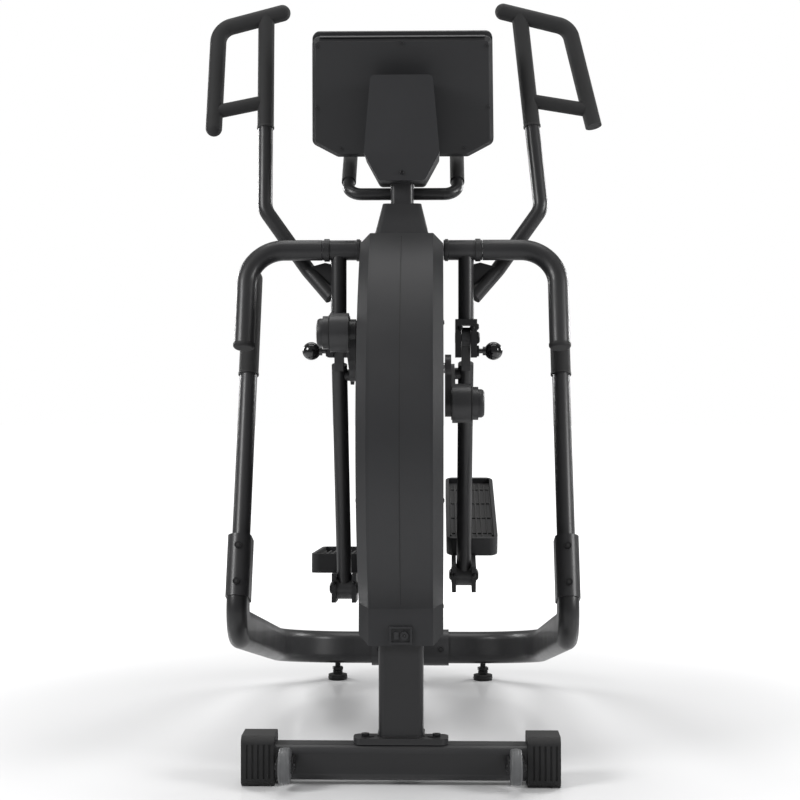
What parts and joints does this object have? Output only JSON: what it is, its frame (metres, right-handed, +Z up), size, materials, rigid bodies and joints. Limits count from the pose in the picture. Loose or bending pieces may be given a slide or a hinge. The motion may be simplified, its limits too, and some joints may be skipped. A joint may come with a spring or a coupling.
{
  "type": "elliptical trainer",
  "caption": "Free-standing black elliptical trainer with swinging handle arms, hanging pedal levers, an oval drive shroud, side rails, a tilted console and a looped rear base.",
  "frame": {"origin": "on the floor, in the middle of the whole machine's box", "axes": "+Z up, +Y to the rear where the user stands, +X to the right when the machine's front faces the viewer"},
  "size_m": [0.8302, 1.2671, 1.5943],
  "materials": {
    "textured_black": "matt fine-textured black powder coat",
    "rubber_black": "moulded matt black rubber",
    "foam_black": "soft matt black grip foam",
    "wheel_grey": "satin grey wheel",
    "belt_rubber": "ribbed belt rubber",
    "shroud_plastic": "fine-grained moulded black plastic",
    "knob_gloss": "polished black ball knob",
    "display_glass": "smooth dark display lens",
    "bolt_steel": "black oxide screw heads",
    "bright_steel": "turned bare steel",
    "cast_iron": "machined dark iron"
  },
  "bodies": {
    "frame": {"front_stabilizer": "textured_black", "front_post": "textured_black", "main_spine": "textured_black", "inner_frame": "textured_black", "rear_base_left": "textured_black", "rear_base_right": "textured_black", "rear_socket": "textured_black", "rail_sleeve_left": "textured_black", "rail_sleeve_right": "textured_black", "side_rail_left": "textured_black", "side_rail_right": "textured_black", "static_arm_left": "textured_black", "static_arm_right": "textured_black", "mast": "textured_black", "fixed_handlebar": "textured_black", "stabilizer_cap_left": "rubber_black", "stabilizer_cap_right": "rubber_black", "static_arm_caps": "rubber_black", "leveler_left": "rubber_black", "leveler_right": "rubber_black", "rail_grip_left": "foam_black", "rail_grip_right": "foam_black", "hand_grips": "foam_black", "drive_belt": "belt_rubber", "shroud_left": "shroud_plastic", "shroud_right": "shroud_plastic", "shroud_band": "shroud_plastic", "mast_collar": "shroud_plastic", "console_back": "shroud_plastic", "console_front": "shroud_plastic", "console_neck": "shroud_plastic", "power_inlet": "shroud_plastic", "display": "display_glass", "frame_bolts": "bolt_steel", "console_screws": "bolt_steel", "axle": "bright_steel"},
    "crank": {"crank_shaft": "bright_steel", "crank_arm_left": "textured_black", "crank_arm_right": "textured_black", "crank_pulley": "shroud_plastic"},
    "flywheel_set": {"flywheel": "cast_iron"},
    "rod_left": {"connecting_rod_left": "textured_black"},
    "rod_right": {"connecting_rod_right": "textured_black"},
    "lever_left": {"swing_arm_left": "textured_black", "handle_left": "textured_black", "handle_grip_left": "foam_black"},
    "lever_right": {"swing_arm_right": "textured_black", "handle_right": "textured_black", "handle_grip_right": "foam_black"},
    "lower_arm_left": {"pedal_arm_left": "textured_black"},
    "lower_arm_right": {"pedal_arm_right": "textured_black"},
    "footplate_left": {"pedal_left": "shroud_plastic"},
    "footplate_right": {"pedal_right": "shroud_plastic"},
    "knob_left": {"lock_knob_left": "knob_gloss"},
    "knob_right": {"lock_knob_right": "knob_gloss"},
    "wheel_left": {"transport_wheel_left": "wheel_grey"},
    "wheel_right": {"transport_wheel_right": "wheel_grey"},
    "key_1": {"button_1": "shroud_plastic"},
    "key_2": {"button_2": "shroud_plastic"},
    "key_3": {"button_3": "shroud_plastic"}
  },
  "joints": [
    {"name": "crank_spin", "type": "hinge", "parent": "frame", "child": "crank", "pos_m": [0, -0.5231, 0.813], "axis": [1, 0, 0], "continuous": true},
    {"name": "flywheel_spin", "type": "hinge", "parent": "frame", "child": "flywheel_set", "pos_m": [0, -0.1731, 0.56], "axis": [1, 0, 0], "continuous": true},
    {"name": "rod_pivot_left", "type": "hinge", "parent": "crank", "child": "rod_left", "pos_m": [-0.118, -0.5231, 0.8815], "axis": [1, 0, 0], "continuous": true},
    {"name": "rod_pivot_right", "type": "hinge", "parent": "crank", "child": "rod_right", "pos_m": [0.118, -0.5231, 0.7445], "axis": [1, 0, 0], "continuous": true},
    {"name": "swing_left", "type": "hinge", "parent": "frame", "child": "lever_left", "pos_m": [-0.124, -0.3631, 1.057], "axis": [1, 0, 0], "range_deg": [-7, 7]},
    {"name": "swing_right", "type": "hinge", "parent": "frame", "child": "lever_right", "pos_m": [0.124, -0.3631, 1.057], "axis": [1, 0, 0], "range_deg": [-7, 7]},
    {"name": "fold_left", "type": "hinge", "parent": "lever_left", "child": "lower_arm_left", "pos_m": [-0.13, -0.3631, 0.878], "axis": [1, 0, 0], "range_deg": [0, 12]},
    {"name": "fold_right", "type": "hinge", "parent": "lever_right", "child": "lower_arm_right", "pos_m": [0.13, -0.3631, 0.878], "axis": [1, 0, 0], "range_deg": [0, 12]},
    {"name": "pedal_tilt_left", "type": "hinge", "parent": "lower_arm_left", "child": "footplate_left", "pos_m": [-0.13, -0.16815, 0.34238], "axis": [1, 0, 0], "range_deg": [-10, 10]},
    {"name": "pedal_tilt_right", "type": "hinge", "parent": "lower_arm_right", "child": "footplate_right", "pos_m": [0.13, -0.11323, 0.36569], "axis": [1, 0, 0], "range_deg": [-10, 10]},
    {"name": "knob_pull_left", "type": "slide", "parent": "lever_left", "child": "knob_left", "axis": [-1, 0, 0], "range_m": [0, 0.008], "stiffness_N_per_m": 900, "springref_m": -0.004},
    {"name": "wheel_spin_left", "type": "hinge", "parent": "frame", "child": "wheel_left", "pos_m": [-0.222, -0.5491, 0.048], "axis": [1, 0, 0], "continuous": true},
    {"name": "knob_pull_right", "type": "slide", "parent": "lever_right", "child": "knob_right", "axis": [1, 0, 0], "range_m": [0, 0.008], "stiffness_N_per_m": 900, "springref_m": -0.004},
    {"name": "wheel_spin_right", "type": "hinge", "parent": "frame", "child": "wheel_right", "pos_m": [0.222, -0.5491, 0.048], "axis": [1, 0, 0], "continuous": true},
    {"name": "button_1_press", "type": "slide", "parent": "frame", "child": "key_1", "axis": [0, -0.9397, -0.342], "range_m": [0, 0.0015], "stiffness_N_per_m": 400, "springref_m": -0.0005},
    {"name": "button_2_press", "type": "slide", "parent": "frame", "child": "key_2", "axis": [0, -0.9397, -0.342], "range_m": [0, 0.0015], "stiffness_N_per_m": 400, "springref_m": -0.0005},
    {"name": "button_3_press", "type": "slide", "parent": "frame", "child": "key_3", "axis": [0, -0.9397, -0.342], "range_m": [0, 0.0015], "stiffness_N_per_m": 400, "springref_m": -0.0005}
  ],
  "couplings": [
    {"joint": "flywheel_spin", "follows": "crank_spin", "ratio": 3.85},
    {"joint": "rod_pivot_left", "follows": "crank_spin", "ratio": -1},
    {"joint": "rod_pivot_right", "follows": "crank_spin", "ratio": -1},
    {"joint": "swing_right", "follows": "swing_left", "ratio": -1}
  ]
}
